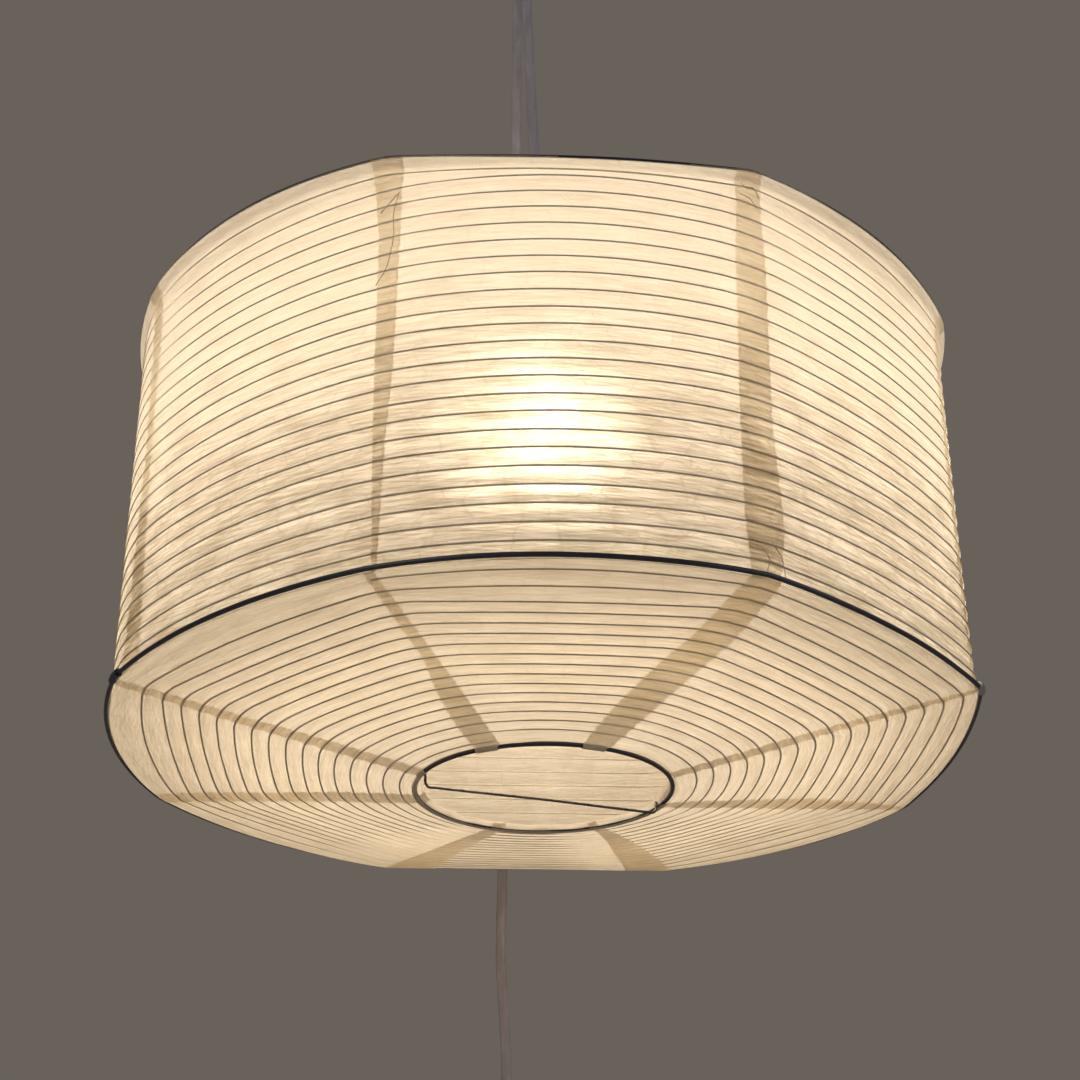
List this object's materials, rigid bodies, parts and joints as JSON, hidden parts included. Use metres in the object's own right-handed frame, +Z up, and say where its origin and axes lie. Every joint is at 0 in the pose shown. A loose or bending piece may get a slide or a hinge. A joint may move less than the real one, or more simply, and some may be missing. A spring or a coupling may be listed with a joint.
{
  "type": "paper lantern lamp shade",
  "caption": "Eight-sided white paper drum shade with wire ribs and black rims, open top and bottom, hung with its bulb on a flat cord.",
  "frame": {"origin": "centre of the ceiling hook plate's top face, on the ceiling", "axes": "+Z up into the ceiling; -Y is the side the shade is seen from, +X to its right"},
  "size_m": [0.4446, 0.5098, 0.834],
  "materials": {
    "paper": "thin fibrous rice paper, translucent",
    "rib_wire": "fine drawn wire",
    "black_wire": "black lacquered wire",
    "steel": "bright zinc-plated wire",
    "holder_plastic": "moulded white",
    "opal_glass": "opal white, lit",
    "brass": "plain",
    "cord_plastic": "soft white vinyl",
    "tie_plastic": "soft white vinyl"
  },
  "bodies": {
    "hanging_frame": {"wall_paper_1": "paper", "wall_paper_2": "paper", "wall_paper_3": "paper", "wall_paper_4": "paper", "wall_paper_5": "paper", "wall_paper_6": "paper", "wall_paper_7": "paper", "wall_paper_8": "paper", "top_paper": "paper", "top_ring": "black_wire", "top_opening_ring": "black_wire", "top_rib_spiral": "rib_wire", "spreader_carrier": "steel", "ceiling_hook": "steel", "hook_plate": "steel", "lampholder_body": "holder_plastic", "lampholder_cap": "holder_plastic", "cord_grip": "holder_plastic", "supply_cord": "cord_plastic", "cord_coil": "cord_plastic", "cord_end": "cord_plastic", "plug_body": "cord_plastic", "coil_tie": "tie_plastic", "plug_blade_1": "brass", "plug_blade_2": "brass"},
    "lower_face": {"bottom_ring": "black_wire", "bottom_opening_ring": "black_wire", "bottom_paper": "paper", "bottom_rib_spiral": "rib_wire", "spreader_wire": "steel"},
    "hoop_01": {"wall_hoop_01": "rib_wire"},
    "hoop_02": {"wall_hoop_02": "rib_wire"},
    "hoop_03": {"wall_hoop_03": "rib_wire"},
    "hoop_04": {"wall_hoop_04": "rib_wire"},
    "hoop_05": {"wall_hoop_05": "rib_wire"},
    "hoop_06": {"wall_hoop_06": "rib_wire"},
    "hoop_07": {"wall_hoop_07": "rib_wire"},
    "hoop_08": {"wall_hoop_08": "rib_wire"},
    "hoop_09": {"wall_hoop_09": "rib_wire"},
    "hoop_10": {"wall_hoop_10": "rib_wire"},
    "hoop_11": {"wall_hoop_11": "rib_wire"},
    "hoop_12": {"wall_hoop_12": "rib_wire"},
    "hoop_13": {"wall_hoop_13": "rib_wire"},
    "hoop_14": {"wall_hoop_14": "rib_wire"},
    "hoop_15": {"wall_hoop_15": "rib_wire"},
    "hoop_16": {"wall_hoop_16": "rib_wire"},
    "hoop_17": {"wall_hoop_17": "rib_wire"},
    "hoop_18": {"wall_hoop_18": "rib_wire"},
    "hoop_19": {"wall_hoop_19": "rib_wire"},
    "hoop_20": {"wall_hoop_20": "rib_wire"},
    "hoop_21": {"wall_hoop_21": "rib_wire"},
    "hoop_22": {"wall_hoop_22": "rib_wire"},
    "hoop_23": {"wall_hoop_23": "rib_wire"},
    "ring_nut": {"shade_ring_nut": "holder_plastic"},
    "bulb": {"bulb_cap": "brass", "bulb_glass": "opal_glass"}
  },
  "joints": [
    {"name": "shade_fold", "type": "slide", "parent": "hanging_frame", "child": "lower_face", "axis": [0, 0, 1], "range_m": [0, 0.14], "deforming": ["wall_paper_1", "wall_paper_2", "wall_paper_3", "wall_paper_4", "wall_paper_5", "wall_paper_6", "wall_paper_7", "wall_paper_8"]},
    {"name": "hoop_01_fold", "type": "slide", "parent": "hanging_frame", "child": "hoop_01", "axis": [0, 0, 1], "range_m": [0, 0.00583]},
    {"name": "hoop_02_fold", "type": "slide", "parent": "hanging_frame", "child": "hoop_02", "axis": [0, 0, 1], "range_m": [0, 0.01167]},
    {"name": "hoop_03_fold", "type": "slide", "parent": "hanging_frame", "child": "hoop_03", "axis": [0, 0, 1], "range_m": [0, 0.0175]},
    {"name": "hoop_04_fold", "type": "slide", "parent": "hanging_frame", "child": "hoop_04", "axis": [0, 0, 1], "range_m": [0, 0.02333]},
    {"name": "hoop_05_fold", "type": "slide", "parent": "hanging_frame", "child": "hoop_05", "axis": [0, 0, 1], "range_m": [0, 0.02917]},
    {"name": "hoop_06_fold", "type": "slide", "parent": "hanging_frame", "child": "hoop_06", "axis": [0, 0, 1], "range_m": [0, 0.035]},
    {"name": "hoop_07_fold", "type": "slide", "parent": "hanging_frame", "child": "hoop_07", "axis": [0, 0, 1], "range_m": [0, 0.04083]},
    {"name": "hoop_08_fold", "type": "slide", "parent": "hanging_frame", "child": "hoop_08", "axis": [0, 0, 1], "range_m": [0, 0.04667]},
    {"name": "hoop_09_fold", "type": "slide", "parent": "hanging_frame", "child": "hoop_09", "axis": [0, 0, 1], "range_m": [0, 0.0525]},
    {"name": "hoop_10_fold", "type": "slide", "parent": "hanging_frame", "child": "hoop_10", "axis": [0, 0, 1], "range_m": [0, 0.05833]},
    {"name": "hoop_11_fold", "type": "slide", "parent": "hanging_frame", "child": "hoop_11", "axis": [0, 0, 1], "range_m": [0, 0.06417]},
    {"name": "hoop_12_fold", "type": "slide", "parent": "hanging_frame", "child": "hoop_12", "axis": [0, 0, 1], "range_m": [0, 0.07]},
    {"name": "hoop_13_fold", "type": "slide", "parent": "hanging_frame", "child": "hoop_13", "axis": [0, 0, 1], "range_m": [0, 0.07583]},
    {"name": "hoop_14_fold", "type": "slide", "parent": "hanging_frame", "child": "hoop_14", "axis": [0, 0, 1], "range_m": [0, 0.08167]},
    {"name": "hoop_15_fold", "type": "slide", "parent": "hanging_frame", "child": "hoop_15", "axis": [0, 0, 1], "range_m": [0, 0.0875]},
    {"name": "hoop_16_fold", "type": "slide", "parent": "hanging_frame", "child": "hoop_16", "axis": [0, 0, 1], "range_m": [0, 0.09333]},
    {"name": "hoop_17_fold", "type": "slide", "parent": "hanging_frame", "child": "hoop_17", "axis": [0, 0, 1], "range_m": [0, 0.09917]},
    {"name": "hoop_18_fold", "type": "slide", "parent": "hanging_frame", "child": "hoop_18", "axis": [0, 0, 1], "range_m": [0, 0.105]},
    {"name": "hoop_19_fold", "type": "slide", "parent": "hanging_frame", "child": "hoop_19", "axis": [0, 0, 1], "range_m": [0, 0.11083]},
    {"name": "hoop_20_fold", "type": "slide", "parent": "hanging_frame", "child": "hoop_20", "axis": [0, 0, 1], "range_m": [0, 0.11667]},
    {"name": "hoop_21_fold", "type": "slide", "parent": "hanging_frame", "child": "hoop_21", "axis": [0, 0, 1], "range_m": [0, 0.1225]},
    {"name": "hoop_22_fold", "type": "slide", "parent": "hanging_frame", "child": "hoop_22", "axis": [0, 0, 1], "range_m": [0, 0.12833]},
    {"name": "hoop_23_fold", "type": "slide", "parent": "hanging_frame", "child": "hoop_23", "axis": [0, 0, 1], "range_m": [0, 0.13417]},
    {"name": "ring_nut_turn", "type": "hinge", "parent": "hanging_frame", "child": "ring_nut", "pos_m": [0.011, -0.0123, -0.35], "axis": [0, 0, 1], "continuous": true},
    {"name": "bulb_turn", "type": "hinge", "parent": "hanging_frame", "child": "bulb", "pos_m": [0.011, -0.0123, -0.4], "axis": [0, 0, 1], "continuous": true}
  ],
  "couplings": [
    {"joint": "hoop_01_fold", "follows": "shade_fold", "ratio": 0.041667},
    {"joint": "hoop_02_fold", "follows": "shade_fold", "ratio": 0.083333},
    {"joint": "hoop_03_fold", "follows": "shade_fold", "ratio": 0.125},
    {"joint": "hoop_04_fold", "follows": "shade_fold", "ratio": 0.16667},
    {"joint": "hoop_05_fold", "follows": "shade_fold", "ratio": 0.20833},
    {"joint": "hoop_06_fold", "follows": "shade_fold", "ratio": 0.25},
    {"joint": "hoop_07_fold", "follows": "shade_fold", "ratio": 0.29167},
    {"joint": "hoop_08_fold", "follows": "shade_fold", "ratio": 0.33333},
    {"joint": "hoop_09_fold", "follows": "shade_fold", "ratio": 0.375},
    {"joint": "hoop_10_fold", "follows": "shade_fold", "ratio": 0.41667},
    {"joint": "hoop_11_fold", "follows": "shade_fold", "ratio": 0.45833},
    {"joint": "hoop_12_fold", "follows": "shade_fold", "ratio": 0.5},
    {"joint": "hoop_13_fold", "follows": "shade_fold", "ratio": 0.54167},
    {"joint": "hoop_14_fold", "follows": "shade_fold", "ratio": 0.58333},
    {"joint": "hoop_15_fold", "follows": "shade_fold", "ratio": 0.625},
    {"joint": "hoop_16_fold", "follows": "shade_fold", "ratio": 0.66667},
    {"joint": "hoop_17_fold", "follows": "shade_fold", "ratio": 0.70833},
    {"joint": "hoop_18_fold", "follows": "shade_fold", "ratio": 0.75},
    {"joint": "hoop_19_fold", "follows": "shade_fold", "ratio": 0.79167},
    {"joint": "hoop_20_fold", "follows": "shade_fold", "ratio": 0.83333},
    {"joint": "hoop_21_fold", "follows": "shade_fold", "ratio": 0.875},
    {"joint": "hoop_22_fold", "follows": "shade_fold", "ratio": 0.91667},
    {"joint": "hoop_23_fold", "follows": "shade_fold", "ratio": 0.95833}
  ]
}
